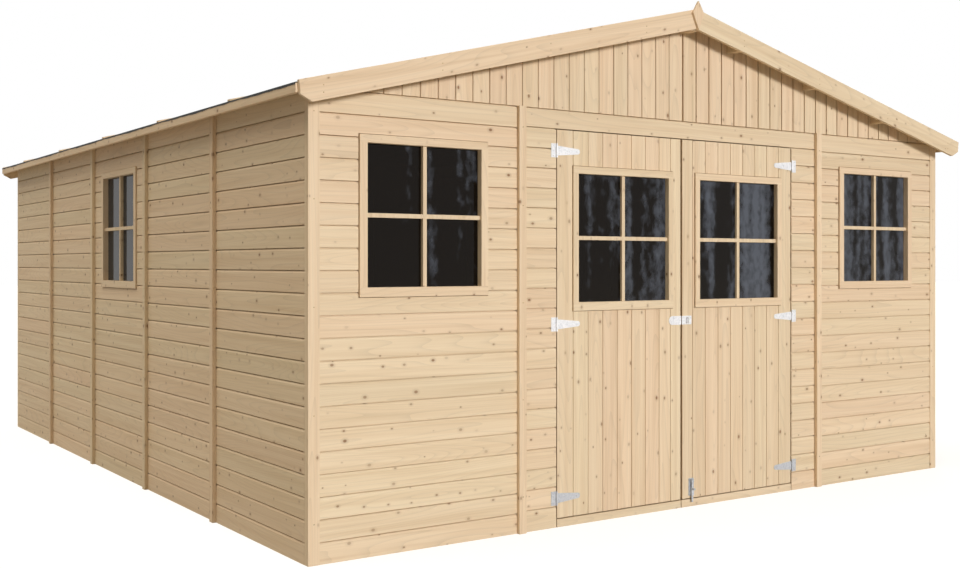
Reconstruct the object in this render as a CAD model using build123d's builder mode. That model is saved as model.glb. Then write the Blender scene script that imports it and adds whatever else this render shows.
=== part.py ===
from build123d import *
import math
import os

os.makedirs("parts", exist_ok=True)

# A garden shed of timber panels with a low gable roof, double doors in the front,
# a window either side of them, one in each side wall and one in each door leaf.
# Millimetres; x to the right along the front, y to the back, z up; the origin is
# on the ground in the middle of the footprint, and the front faces -y.

# Overall sizes
shed_width = 3940  # across the outer faces of the side walls
shed_depth = 4760  # from the front cladding to the back cladding
wall_height = 1852  # top of the wall panels
roof_pitch = 14.0  # degrees

# Timber sections
cladding_thickness = 16
stud_width = 45
stud_depth = 35
board_thickness = 18  # battens, trims, fascias and bargeboards
batten_width = 38
corner_trim_width = 50
corner_trim_depth = 33  # the trims are posts that close the corners
corner_trim_proud = 3  # in front of the cladding
seat_gap = 0.3  # between pieces that rest on each other
moving_gap = 5  # around the door leaves

# Floor
bearer_height = 18
bearer_width = 45
bearer_count = 9
floor_thickness = 17
threshold_height = 36
floor_margin = 2  # between the floor and the wall frames

# Roof
gable_overhang = 97  # from the front cladding to the face of the bargeboards
eave_overhang = 88  # from the side cladding to the face of the fascias
roof_lift = 3  # roof boards above the outer corner of the wall panels
roof_board_thickness = 16
felt_thickness = 3
felt_lip = 2  # felt past the face of the fascia
purlin_width = 45
purlin_depth = 95
purlin_offsets = (317, 867, 1417)  # from the middle of the shed
ridge_beam_depth = 105
notch_gap = 0.5  # round each purlin where it passes the gable
fascia_height = 36
bargeboard_height = 94  # upright measure
bargeboard_rise = 6  # top edge above the felt
bargeboard_toe = 82  # end of the bargeboard past the side cladding
toe_cut_height = 55
toe_cut_lean = 6
toe_chamfer_reach = 56
lath_width = 25
lath_thickness = 8
lath_count = 5
lath_spacing = 902
finial_width = 72
finial_upper = 58
finial_lower = 78
finial_thickness = 12
finial_rise = 36  # top of the finial above the peak of the bargeboards

# Windows
window_width = 545  # clear, inside the frame
window_height = 577
window_drop = 201  # from the top of the wall panels to the glass
window_frame_side = 35
window_frame_sill = 39
window_frame_head = 33
window_frame_depth = 48
window_frame_proud = 8
pane_thickness = 4
wall_pane_setback = 30  # behind the face of the window frame
door_pane_setback = 25
front_window_centre = 1440  # from the middle of the shed

# Doors
doorway_width = 1528
header_height = 84  # board over the doors
meeting_line = -10.5  # where the two leaves meet
door_bottom = 41
door_window_drop = 190  # from the top of the leaf to the glass
door_window_side = 30  # side of the window frames in the doors
left_door_window = -369.5
right_door_window = 379.5
door_frame_width = 70
door_frame_depth = 28

# Wall panels
side_window_y = 0
side_end_margin = 20  # wider part of the panels at the corners
side_panel_count = 5
back_panel_count = 4
front_batten_x = 958  # from the middle of the shed

# T hinges
hinge_foot_margin = 89  # from the foot of the leaf to the lowest hinge
hinge_head_margin = 93  # from the top of the leaf to the highest hinge
hinge_thickness = 2.5
hinge_window_drop = 57  # from the window frames down to the middle hinges
hinge_plate_width = 25
hinge_plate_height = 62
knuckle_radius = 4.5
pin_radius = 2.5
pin_clearance = 0.4
middle_knuckle = 30
knuckle_gap = 0.5
strap_length = 132
strap_root_height = 44
strap_tip_height = 24
strap_start = 6.5  # where the wide part of the strap begins

# Hasp and tower bolt
hasp_drop = 59  # below the window frames of the doors
hasp_plate_height = 42
hasp_length = 78
hasp_thickness = 3
staple_plate_width = 62
staple_x = 24
staple_wire = 6
staple_reach = 16
bolt_x = 53
bolt_base_bottom = 52
bolt_base_height = 84
bolt_base_width = 33
bolt_base_thickness = 2
bolt_radius = 5
bolt_tip = 23
bolt_tower_wall = 3.5
bolt_throw = 28
bolt_slide_gap = 0.4
bolt_end_margin = 4  # from the ends of the base plate to the towers
bolt_lower_tower = 30  # top of the lower tower above the foot of the plate
knob_stem_radius = 3
knob_margin = 1
knob_reach = 18
knob_head_radius = 5
knob_head_length = 6

# Places worked out from the sizes above
doorway_height = wall_height - header_height
leaf_top = doorway_height - moving_gap
window_foot = wall_height - window_drop - window_height
door_window_foot = leaf_top - door_window_drop - window_height
window_hole_height = window_height + window_frame_sill + window_frame_head
wall_hole_width = window_width + 2 * window_frame_side
wall_hole_low = window_foot - window_frame_sill
wall_hole_high = wall_hole_low + window_hole_height
wall_hole_middle = (wall_hole_low + wall_hole_high) / 2
door_hole_width = window_width + 2 * door_window_side
door_hole_low = door_window_foot - window_frame_sill
door_hole_high = door_hole_low + window_hole_height
door_hole_middle = (door_hole_low + door_hole_high) / 2
hasp_z = door_hole_low - hasp_drop
low_hinge = door_bottom + hinge_foot_margin
high_hinge = leaf_top - hinge_head_margin
hinge_heights = (low_hinge, door_hole_low - hinge_window_drop, high_hinge)
half_width = shed_width / 2
half_depth = shed_depth / 2
end_wall_half = half_width - corner_trim_width - seat_gap  # between the corner trims
side_wall_half = half_depth + corner_trim_proud - corner_trim_depth
pitch_angle = math.radians(roof_pitch)
slope = math.tan(pitch_angle)
upright = 1 / math.cos(pitch_angle)  # upright measure of a thickness across the slope
roof_end = half_depth + gable_overhang - board_thickness - seat_gap
frame_outer = cladding_thickness + seat_gap
frame_inner = frame_outer + stud_depth
leaf_front = -half_depth
hinge_line = doorway_width / 2
hinge_axis_y = -half_depth - seat_gap - knuckle_radius


def roof_underside(x):
    """Height of the underside of the roof boards at a distance x from the middle."""
    return wall_height + roof_lift + (half_width - abs(x)) * slope


def beam(x, y, z):
    """A squared piece between two limits on each axis, added to the open part."""
    with BuildSketch(Plane.XY.offset(z[0])) as section:
        with Locations(((x[0] + x[1]) / 2, (y[0] + y[1]) / 2)):
            Rectangle(x[1] - x[0], y[1] - y[0])
    extrude(section.sketch, amount=z[1] - z[0])


def prism(plane, points, length):
    """An upright outline pushed out from its plane, added to the open part."""
    with BuildSketch(plane) as section:
        with BuildLine():
            Polyline(*points, close=True)
        make_face()
    extrude(section.sketch, amount=length)


def finish(part, name):
    """Names a finished piece and writes its file."""
    part.label = name
    export_step(part, f"parts/{name}.step")


# Floor: boards on bearers, between the wall frames
floor_half_x = half_width - frame_inner - floor_margin
floor_half_y = half_depth - frame_inner - floor_margin
bearer_pitch = (2 * floor_half_x - bearer_width) / (bearer_count - 1)

with BuildPart() as floor_bearers:
    with GridLocations(bearer_pitch, 1, bearer_count, 1):
        Box(bearer_width, 2 * floor_half_y, bearer_height, align=(Align.CENTER, Align.CENTER, Align.MIN))
finish(floor_bearers.part, "floor_bearers")

with BuildPart() as floor_boards:
    with Locations((0, 0, bearer_height + seat_gap)):
        Box(
            2 * floor_half_x,
            2 * floor_half_y,
            floor_thickness,
            align=(Align.CENTER, Align.CENTER, Align.MIN),
        )
finish(floor_boards.part, "floor_boards")

# Threshold: two lengths of sill that meet under the doors
threshold_y = (-half_depth, -floor_half_y - seat_gap)
with BuildPart() as door_threshold:
    beam((-hinge_line + seat_gap, meeting_line - seat_gap), threshold_y, (0, threshold_height))
    beam((meeting_line + seat_gap, hinge_line - seat_gap), threshold_y, (0, threshold_height))
finish(door_threshold.part, "door_threshold")

# Front wall: a panel with a window at each end, a narrow panel beside each door
# leaf, and a header board over the doors
front_plane = Plane.XZ.offset(half_depth)
front_panel_inner = front_batten_x + seat_gap
front_panel_outer = end_wall_half
for side, sign in (("left", -1), ("right", 1)):
    with BuildPart() as front_panel:
        with BuildSketch(front_plane):
            panel_middle = sign * (front_panel_inner + front_panel_outer) / 2
            with Locations((panel_middle, wall_height / 2)):
                Rectangle(front_panel_outer - front_panel_inner, wall_height)
            with Locations((sign * front_window_centre, wall_hole_middle)):
                Rectangle(wall_hole_width, window_hole_height, mode=Mode.SUBTRACT)
        extrude(amount=-cladding_thickness)
    finish(front_panel.part, f"front_{side}_panel")

front_cladding_y = (-half_depth, -half_depth + cladding_thickness)
with BuildPart() as door_surround:
    for sign in (-1, 1):
        edges_x = sorted((sign * hinge_line, sign * (front_batten_x - seat_gap)))
        beam(edges_x, front_cladding_y, (0, wall_height))
    header_half = hinge_line - seat_gap
    beam((-header_half, header_half), front_cladding_y, (doorway_height, wall_height))
finish(door_surround.part, "door_surround")

# Side walls: five panels each, the middle one with a window
side_panel_length = (shed_depth - 2 * side_end_margin) / side_panel_count
side_joints = [(i - (side_panel_count - 1) / 2 + 0.5) * side_panel_length for i in range(-1, side_panel_count)]
side_joints[0] = -side_wall_half
side_joints[-1] = side_wall_half
for side, sign in (("left", -1), ("right", 1)):
    wall_x = sorted((sign * half_width, sign * (half_width - cladding_thickness)))
    with BuildPart() as side_panels:
        for i in range(side_panel_count):
            if i != side_panel_count // 2:
                beam(wall_x, (side_joints[i] + seat_gap, side_joints[i + 1] - seat_gap), (0, wall_height))
    finish(side_panels.part, f"{side}_wall_panels")

    with BuildPart() as window_panel:
        with BuildSketch(Plane.YZ.offset(wall_x[0])):
            with Locations((side_window_y, wall_height / 2)):
                Rectangle(side_panel_length - 2 * seat_gap, wall_height)
            with Locations((side_window_y, wall_hole_middle)):
                Rectangle(wall_hole_width, window_hole_height, mode=Mode.SUBTRACT)
        extrude(amount=cladding_thickness)
    finish(window_panel.part, f"{side}_window_panel")

# Back wall: plain panels
back_panel_length = 2 * end_wall_half / back_panel_count
with BuildPart() as back_panels:
    for i in range(back_panel_count):
        start = -end_wall_half + i * back_panel_length
        beam(
            (start + seat_gap, start + back_panel_length - seat_gap),
            (half_depth - cladding_thickness, half_depth),
            (0, wall_height),
        )
finish(back_panels.part, "back_wall_panels")

# Gables: upright boarding in two halves, notched over the purlins
notch_centres = [0] + [half * offset for half in (-1, 1) for offset in purlin_offsets]
gable_base = wall_height + seat_gap
gable_outer = half_width - cladding_thickness - seat_gap
with BuildPart() as gable_boards:
    for sign in (-1, 1):
        gable_plane = Plane.XZ.offset(-sign * half_depth)
        for half in (-1, 1):
            points = [
                (half * seat_gap, gable_base),
                (half * gable_outer, gable_base),
                (half * gable_outer, roof_underside(gable_outer) - seat_gap),
                (half * seat_gap, roof_underside(seat_gap) - seat_gap),
            ]
            prism(gable_plane, points, sign * cladding_thickness)
    for centre in notch_centres:
        depth = ridge_beam_depth if centre == 0 else purlin_depth
        low = roof_underside(centre) - depth - notch_gap
        with BuildSketch(Plane.XZ) as notch:
            with Locations((centre, low + wall_height / 2)):
                Rectangle(purlin_width + 2 * notch_gap, wall_height)
        extrude(notch.sketch, amount=shed_depth, both=True, mode=Mode.SUBTRACT)
finish(gable_boards.part, "gable_boards")


def panel_frame(limits, place, openings=()):
    """Two studs, two plates and a middle rail behind one panel.

    place turns (along, deep, height) limits into the squared timber.
    """
    start, end = limits
    rails = [0, wall_height - stud_width]
    rails += openings if openings else [wall_height / 2]
    for stud in ((start, start + stud_width), (end - stud_width, end)):
        place(stud, (stud_width + seat_gap, wall_height - stud_width - seat_gap))
    for rail in rails:
        inset = 0 if rail in rails[:2] else stud_width + seat_gap
        place((start + inset, end - inset), (rail, rail + stud_width))


window_rails = [wall_hole_low - stud_width - seat_gap, wall_hole_high + seat_gap]
frame_depths = (half_depth - frame_inner, half_depth - frame_outer)
for side, sign in (("left", -1), ("right", 1)):
    frame_x = sorted((sign * (half_width - frame_inner), sign * (half_width - frame_outer)))
    with BuildPart() as side_frame:
        for i in range(side_panel_count):
            y_start = side_joints[i] + seat_gap
            y_end = side_joints[i + 1] - seat_gap
            if i == 0:
                y_start = -half_depth + frame_inner + seat_gap
            if i == side_panel_count - 1:
                y_end = half_depth - frame_inner - seat_gap
            rails = window_rails if i == side_panel_count // 2 else ()
            panel_frame((y_start, y_end), lambda along, z: beam(frame_x, along, z), rails)
    finish(side_frame.part, f"{side}_wall_frame")

# The end frames also carry the gable: a plate on the wall frame and a post
# under each purlin
for side, sign in (("front", -1), ("back", 1)):
    frame_y = sorted(sign * depth for depth in frame_depths)
    with BuildPart() as end_frame:
        if side == "front":
            spans = [(front_batten_x + seat_gap, end_wall_half), (hinge_line, front_batten_x - seat_gap)]
            for half in (-1, 1):
                for inner, outer in spans:
                    span = sorted((half * inner, half * outer))
                    rails = window_rails if inner > hinge_line else ()
                    panel_frame(span, lambda along, z: beam(along, frame_y, z), rails)
            lintel_half = hinge_line - seat_gap
            beam((-lintel_half, lintel_half), frame_y, (doorway_height, wall_height))
        else:
            for i in range(back_panel_count):
                start = -end_wall_half + i * back_panel_length
                span = (start + seat_gap, start + back_panel_length - seat_gap)
                panel_frame(span, lambda along, z: beam(along, frame_y, z))
        plate_low = wall_height + seat_gap
        plate_half = half_width - frame_inner - stud_width
        plate_high = min(plate_low + stud_width, roof_underside(plate_half) - seat_gap)
        beam((-plate_half, plate_half), frame_y, (plate_low, plate_high))
        for centre in notch_centres:
            depth = ridge_beam_depth if centre == 0 else purlin_depth
            post_top = roof_underside(abs(centre) + purlin_width / 2) - depth - seat_gap
            if post_top > plate_high + stud_width:
                post_x = (centre - purlin_width / 2, centre + purlin_width / 2)
                beam(post_x, frame_y, (plate_high + seat_gap, post_top))
    finish(end_frame.part, f"{side}_wall_frame")

# Battens over the panel joints, and a trim that closes each corner
batten_y = (-half_depth - seat_gap - board_thickness, -half_depth - seat_gap)
batten_outer = half_width + seat_gap + board_thickness
side_batten_top = roof_underside(batten_outer) - seat_gap
with BuildPart() as wall_battens:
    for sign in (-1, 1):
        centre = sign * front_batten_x
        beam((centre - batten_width / 2, centre + batten_width / 2), batten_y, (0, wall_height))
        batten_x = sorted((sign * (half_width + seat_gap), sign * batten_outer))
        for joint in side_joints[1:-1]:
            span_y = (joint - batten_width / 2, joint + batten_width / 2)
            beam(batten_x, span_y, (0, side_batten_top))
    for i in range(1, back_panel_count):
        centre = -end_wall_half + i * back_panel_length
        span_x = (centre - batten_width / 2, centre + batten_width / 2)
        beam(span_x, (-batten_y[1], -batten_y[0]), (0, wall_height))
finish(wall_battens.part, "wall_battens")

with BuildPart() as corner_trims:
    for sign in (-1, 1):
        trim_x = sorted((sign * (half_width - corner_trim_width), sign * half_width))
        for end in (-1, 1):
            trim_y = sorted((end * side_wall_half, end * (half_depth + corner_trim_proud)))
            beam(trim_x, trim_y, (0, wall_height))
finish(corner_trims.part, "corner_trims")

# Roof timbers: a ridge beam and three purlins on each slope
with BuildPart() as roof_purlins:
    purlin_plane = Plane.XZ.offset(-roof_end + seat_gap)
    purlin_length = 2 * (roof_end - seat_gap)
    half_purlin = purlin_width / 2
    ridge_low = roof_underside(0) - ridge_beam_depth
    shoulder = roof_underside(half_purlin) - seat_gap
    ridge_points = [
        (-half_purlin, ridge_low),
        (half_purlin, ridge_low),
        (half_purlin, shoulder),
        (0, roof_underside(0) - seat_gap),
        (-half_purlin, shoulder),
    ]
    prism(purlin_plane, ridge_points, purlin_length)
    for half in (-1, 1):
        for offset in purlin_offsets:
            near, far = offset - half_purlin, offset + half_purlin
            low = roof_underside(offset) - purlin_depth
            points = [
                (half * near, low),
                (half * far, low),
                (half * far, roof_underside(far) - seat_gap),
                (half * near, roof_underside(near) - seat_gap),
            ]
            prism(purlin_plane, points, purlin_length)
finish(roof_purlins.part, "roof_purlins")

# Roof boards and felt, one sheet to a slope
roof_plane = Plane.XZ.offset(-roof_end)
boards_end = half_width + eave_overhang - board_thickness - seat_gap
felt_end = half_width + eave_overhang + felt_lip
board_rise = roof_board_thickness * upright
felt_low = board_rise + seat_gap
felt_high = felt_low + felt_thickness * upright
for side, sign in (("left", -1), ("right", 1)):
    ridge_x = seat_gap
    with BuildPart() as roof_boards:
        points = [
            (sign * ridge_x, roof_underside(ridge_x)),
            (sign * boards_end, roof_underside(boards_end)),
            (sign * boards_end, roof_underside(boards_end) + board_rise),
            (sign * ridge_x, roof_underside(ridge_x) + board_rise),
        ]
        prism(roof_plane, points, 2 * roof_end)
    finish(roof_boards.part, f"{side}_roof_boards")

    with BuildPart() as roof_felt:
        points = [
            (sign * ridge_x, roof_underside(ridge_x) + felt_low),
            (sign * felt_end, roof_underside(felt_end) + felt_low),
            (sign * felt_end, roof_underside(felt_end) + felt_high),
            (sign * ridge_x, roof_underside(ridge_x) + felt_high),
        ]
        prism(roof_plane, points, 2 * roof_end)
    finish(roof_felt.part, f"{side}_roof_felt")

# Laths that hold the felt down, from the ridge to the eaves
lath_low = felt_high + seat_gap
lath_high = lath_low + lath_thickness * upright
with BuildPart() as felt_laths:
    for sign in (-1, 1):
        for i in range(lath_count):
            lath_y = (i - (lath_count - 1) / 2) * lath_spacing
            near = lath_width
            points = [
                (sign * near, roof_underside(near) + lath_low),
                (sign * felt_end, roof_underside(felt_end) + lath_low),
                (sign * felt_end, roof_underside(felt_end) + lath_high),
                (sign * near, roof_underside(near) + lath_high),
            ]
            prism(Plane.XZ.offset(-lath_y - lath_width / 2), points, lath_width)
finish(felt_laths.part, "felt_laths")

# Fascias along the eaves, between the bargeboards
with BuildPart() as eave_fascias:
    fascia_outer = half_width + eave_overhang
    fascia_top = roof_underside(fascia_outer) + felt_low - seat_gap
    for sign in (-1, 1):
        fascia_x = sorted((sign * (fascia_outer - board_thickness), sign * fascia_outer))
        beam(fascia_x, (-roof_end, roof_end), (fascia_top - fascia_height, fascia_top))
finish(eave_fascias.part, "eave_fascias")

# Bargeboards: cut upright at the peak and with a chamfered toe at the eaves
barge_top_rise = felt_high + bargeboard_rise
toe = half_width + bargeboard_toe
toe_top = roof_underside(toe) + barge_top_rise
chamfer_x = toe - toe_chamfer_reach
barge_points = [
    (seat_gap, roof_underside(seat_gap) + barge_top_rise),
    (toe, toe_top),
    (toe - toe_cut_lean, toe_top - toe_cut_height),
    (chamfer_x, roof_underside(chamfer_x) + barge_top_rise - bargeboard_height),
    (seat_gap, roof_underside(seat_gap) + barge_top_rise - bargeboard_height),
]
with BuildPart() as bargeboards:
    for sign in (-1, 1):
        barge_plane = Plane.XZ.offset(-sign * (half_depth + gable_overhang))
        for half in (-1, 1):
            prism(barge_plane, [(half * x, z) for x, z in barge_points], sign * board_thickness)
finish(bargeboards.part, "bargeboards")

# Finials: a flat spearhead over each bargeboard joint
peak = roof_underside(0) + barge_top_rise
finial_top = peak + finial_rise
finial_points = [
    (0, finial_top),
    (finial_width / 2, finial_top - finial_upper),
    (0, finial_top - finial_upper - finial_lower),
    (-finial_width / 2, finial_top - finial_upper),
]
with BuildPart() as gable_finials:
    for sign in (-1, 1):
        finial_face = half_depth + gable_overhang + seat_gap
        prism(Plane.XZ.offset(-sign * finial_face), finial_points, -sign * finial_thickness)
finish(gable_finials.part, "gable_finials")


def window_frame(plane, centre, foot, side, depth):
    """A squared frame round one window, drawn on the plane of its face."""
    middle = foot + window_height / 2
    outer_middle = foot - window_frame_sill + window_hole_height / 2
    outer_width = window_width + 2 * side - 2 * seat_gap
    with BuildSketch(plane) as outline:
        with Locations((centre, outer_middle)):
            Rectangle(outer_width, window_hole_height - 2 * seat_gap)
        with Locations((centre, middle)):
            Rectangle(window_width, window_height, mode=Mode.SUBTRACT)
    extrude(outline.sketch, amount=depth)


def window_pane(plane, centre, foot, depth):
    """A sheet of glass that fits inside one window frame."""
    with BuildSketch(plane) as sheet:
        with Locations((centre, foot + window_height / 2)):
            Rectangle(window_width - 2 * seat_gap, window_height - 2 * seat_gap)
    extrude(sheet.sketch, amount=depth)


frame_face = half_depth + window_frame_proud
side_face = half_width + window_frame_proud
with BuildPart() as wall_window_frames:
    for sign in (-1, 1):
        front_x = sign * front_window_centre
        side_plane = Plane.YZ.offset(sign * side_face)
        side_depth = -sign * window_frame_depth
        window_frame(
            Plane.XZ.offset(frame_face), front_x, window_foot, window_frame_side, -window_frame_depth
        )
        window_frame(side_plane, side_window_y, window_foot, window_frame_side, side_depth)
finish(wall_window_frames.part, "wall_window_frames")

with BuildPart() as wall_window_panes:
    for sign in (-1, 1):
        front_pane = Plane.XZ.offset(frame_face - wall_pane_setback)
        side_pane = Plane.YZ.offset(sign * (side_face - wall_pane_setback))
        window_pane(front_pane, sign * front_window_centre, window_foot, -pane_thickness)
        window_pane(side_pane, side_window_y, window_foot, -sign * pane_thickness)
finish(wall_window_panes.part, "wall_window_panes")

# Door leaves: boards on a ledged frame, with a window in each
leaf_height = leaf_top - door_bottom
leaf_middle = (leaf_top + door_bottom) / 2
leaf_limits = {
    "left": (-hinge_line + moving_gap, meeting_line - moving_gap / 2),
    "right": (meeting_line + moving_gap / 2, hinge_line - moving_gap),
}
window_centres = {"left": left_door_window, "right": right_door_window}
ledge_y = (leaf_front + frame_outer, leaf_front + frame_outer + door_frame_depth)
for side in ("left", "right"):
    inner, outer = leaf_limits[side]
    centre = window_centres[side]
    with BuildPart() as leaf_boards:
        with BuildSketch(front_plane):
            with Locations(((inner + outer) / 2, leaf_middle)):
                Rectangle(outer - inner, leaf_height)
            with Locations((centre, door_hole_middle)):
                Rectangle(door_hole_width, window_hole_height, mode=Mode.SUBTRACT)
        extrude(amount=-cladding_thickness)
    finish(leaf_boards.part, f"{side}_door_boards")

    with BuildPart() as leaf_frame:
        stile_z = (door_bottom, leaf_top)
        window_clear = door_hole_width / 2 + seat_gap
        left_stile = (inner, min(inner + door_frame_width, centre - window_clear))
        right_stile = (max(outer - door_frame_width, centre + window_clear), outer)
        beam(left_stile, ledge_y, stile_z)
        beam(right_stile, ledge_y, stile_z)
        between = (left_stile[1] + seat_gap, right_stile[0] - seat_gap)
        rail_low = door_hole_low - seat_gap
        rail_high = door_hole_high + seat_gap
        beam(between, ledge_y, (door_bottom, door_bottom + door_frame_width))
        beam(between, ledge_y, (rail_low - door_frame_width, rail_low))
        beam(between, ledge_y, (rail_high, rail_high + door_frame_width))
    finish(leaf_frame.part, f"{side}_door_frame")

    with BuildPart() as leaf_window:
        leaf_plane = Plane.XZ.offset(frame_face)
        window_frame(leaf_plane, centre, door_window_foot, door_window_side, -window_frame_depth)
    finish(leaf_window.part, f"{side}_door_window")

    with BuildPart() as leaf_pane:
        pane_plane = Plane.XZ.offset(frame_face - door_pane_setback)
        window_pane(pane_plane, centre, door_window_foot, -pane_thickness)
    finish(leaf_pane.part, f"{side}_door_pane")

# T hinges: a plate on the wall with an outer knuckle above and below the middle
# knuckle of the strap, and a pin through all three
hinge_face = leaf_front - seat_gap
with BuildPart() as hinge_plates:
    for sign in (-1, 1):
        for height in hinge_heights:
            axis_x = sign * hinge_line
            plate_x = sorted((axis_x, axis_x + sign * (knuckle_radius + hinge_plate_width)))
            plate_z = (height - hinge_plate_height / 2, height + hinge_plate_height / 2)
            knuckle_span = (hinge_plate_height - middle_knuckle) / 2 - knuckle_gap
            beam(plate_x, (hinge_face - hinge_thickness, hinge_face), plate_z)
            relief_x = sorted((axis_x, axis_x + sign * (knuckle_radius + knuckle_gap)))
            relief_half = middle_knuckle / 2 + knuckle_gap
            with BuildSketch(Plane.XY.offset(height - relief_half)) as relief:
                with Locations((sum(relief_x) / 2, hinge_axis_y)):
                    Rectangle(relief_x[1] - relief_x[0], 4 * knuckle_radius)
            extrude(relief.sketch, amount=2 * relief_half, mode=Mode.SUBTRACT)
            for low in (plate_z[0], plate_z[1] - knuckle_span):
                with BuildSketch(Plane.XY.offset(low)) as knuckle:
                    with Locations((axis_x, hinge_axis_y)):
                        Circle(knuckle_radius)
                extrude(knuckle.sketch, amount=knuckle_span)
            with BuildSketch(Plane.XY.offset(plate_z[0])) as pin:
                with Locations((axis_x, hinge_axis_y)):
                    Circle(pin_radius)
            extrude(pin.sketch, amount=hinge_plate_height)
finish(hinge_plates.part, "hinge_plates")

for side, sign in (("left", 1), ("right", -1)):
    axis_x = -sign * hinge_line
    with BuildPart() as hinge_straps:
        for height in hinge_heights:
            tip_radius = strap_tip_height / 2
            tip_centre = strap_length - tip_radius
            with BuildSketch(Plane.XZ.offset(-hinge_face)) as blade:
                with BuildLine():
                    Polyline(
                        (axis_x + sign * tip_centre, height + tip_radius),
                        (axis_x + sign * strap_start, height + strap_root_height / 2),
                        (axis_x + sign * strap_start, height + middle_knuckle / 2),
                        (axis_x, height + middle_knuckle / 2),
                        (axis_x, height - middle_knuckle / 2),
                        (axis_x + sign * strap_start, height - middle_knuckle / 2),
                        (axis_x + sign * strap_start, height - strap_root_height / 2),
                        (axis_x + sign * tip_centre, height - tip_radius),
                    )
                    ThreePointArc(
                        (axis_x + sign * tip_centre, height - tip_radius),
                        (axis_x + sign * strap_length, height),
                        (axis_x + sign * tip_centre, height + tip_radius),
                    )
                make_face()
            extrude(blade.sketch, amount=hinge_thickness)
            with BuildSketch(Plane.XY.offset(height - middle_knuckle / 2)) as barrel:
                with Locations((axis_x, hinge_axis_y)):
                    Circle(knuckle_radius)
            extrude(barrel.sketch, amount=middle_knuckle)
            with BuildSketch(Plane.XY.offset(height - middle_knuckle / 2)) as pin_hole:
                with Locations((axis_x, hinge_axis_y)):
                    Circle(pin_radius + pin_clearance)
            extrude(pin_hole.sketch, amount=middle_knuckle, mode=Mode.SUBTRACT)
    finish(hinge_straps.part, f"{side}_door_straps")

# Hasp on the closing edge of the left leaf, and the staple that it closes towards
with BuildPart() as hasp:
    hasp_plane = Plane.XZ.offset(-hinge_face)
    hasp_end = leaf_limits["left"][1]
    hasp_round = hasp_plate_height / 2
    with BuildSketch(hasp_plane):
        with BuildLine():
            Polyline(
                (hasp_end - hasp_length + hasp_round, hasp_z + hasp_round),
                (hasp_end, hasp_z + hasp_round),
                (hasp_end, hasp_z - hasp_round),
                (hasp_end - hasp_length + hasp_round, hasp_z - hasp_round),
            )
            ThreePointArc(
                (hasp_end - hasp_length + hasp_round, hasp_z - hasp_round),
                (hasp_end - hasp_length, hasp_z),
                (hasp_end - hasp_length + hasp_round, hasp_z + hasp_round),
            )
        make_face()
    extrude(amount=hasp_thickness)
finish(hasp.part, "hasp")

right_edge = leaf_limits["right"][0]
with BuildPart() as hasp_staple:
    with BuildSketch(Plane.XZ.offset(-hinge_face)):
        with Locations((right_edge + staple_plate_width / 2, hasp_z)):
            RectangleRounded(staple_plate_width, hasp_plate_height, 4)
    extrude(amount=hasp_thickness)
    staple_face = hinge_face - hasp_thickness
    with BuildSketch(Plane.YZ.offset(staple_x - staple_wire / 2)):
        with Locations((staple_face - staple_reach / 2, hasp_z)):
            Rectangle(staple_reach, hasp_plate_height * 0.7)
        with Locations((staple_face - (staple_reach - staple_wire) / 2, hasp_z)):
            Rectangle(staple_reach - staple_wire, hasp_plate_height * 0.7 - 2 * staple_wire, mode=Mode.SUBTRACT)
    extrude(amount=staple_wire)
finish(hasp_staple.part, "hasp_staple")

# Tower bolt at the foot of the right leaf: a base plate with a barrel, and a rod
# with a knob that slides in it
barrel_radius = bolt_radius + bolt_slide_gap + bolt_tower_wall
bolt_y = hinge_face - barrel_radius
bolt_base_top = bolt_base_bottom + bolt_base_height
tower_top = bolt_base_top - bolt_end_margin
lower_tower = (bolt_base_bottom + bolt_end_margin, bolt_base_bottom + bolt_lower_tower)
upper_tower = (lower_tower[1] + 2 * (knob_stem_radius + knob_margin) + bolt_throw, tower_top)
with BuildPart() as bolt_barrel:
    with BuildSketch(Plane.XZ.offset(-hinge_face)):
        with Locations((bolt_x, bolt_base_bottom + bolt_base_height / 2)):
            RectangleRounded(bolt_base_width, bolt_base_height, 4)
    extrude(amount=bolt_base_thickness)
    for low, high in (lower_tower, upper_tower):
        with BuildSketch(Plane.XY.offset(low)) as tower:
            with Locations((bolt_x, bolt_y)):
                Circle(barrel_radius)
            with Locations((bolt_x, (bolt_y + hinge_face - bolt_base_thickness / 2) / 2)):
                Rectangle(2 * barrel_radius, abs(bolt_y - hinge_face + bolt_base_thickness / 2))
            with Locations((bolt_x, bolt_y)):
                Circle(bolt_radius + bolt_slide_gap, mode=Mode.SUBTRACT)
        extrude(tower.sketch, amount=high - low)
finish(bolt_barrel.part, "bolt_barrel")

with BuildPart() as bolt_rod:
    with BuildSketch(Plane.XY.offset(bolt_tip)):
        with Locations((bolt_x, bolt_y)):
            Circle(bolt_radius)
    extrude(amount=tower_top - bolt_tip)
    knob_z = lower_tower[1] + knob_margin + knob_stem_radius
    with BuildSketch(Plane.XZ.offset(-bolt_y)) as knob:
        with Locations((bolt_x, knob_z)):
            Circle(knob_stem_radius)
    extrude(knob.sketch, amount=knob_reach)
    with BuildSketch(Plane.XZ.offset(-bolt_y + knob_reach - knob_head_length)) as knob_head:
        with Locations((bolt_x, knob_z)):
            Circle(knob_head_radius)
    extrude(knob_head.sketch, amount=knob_head_length)
finish(bolt_rod.part, "bolt_rod")
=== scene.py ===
import math
import bpy
import bmesh
from mathutils import Matrix, Vector


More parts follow.
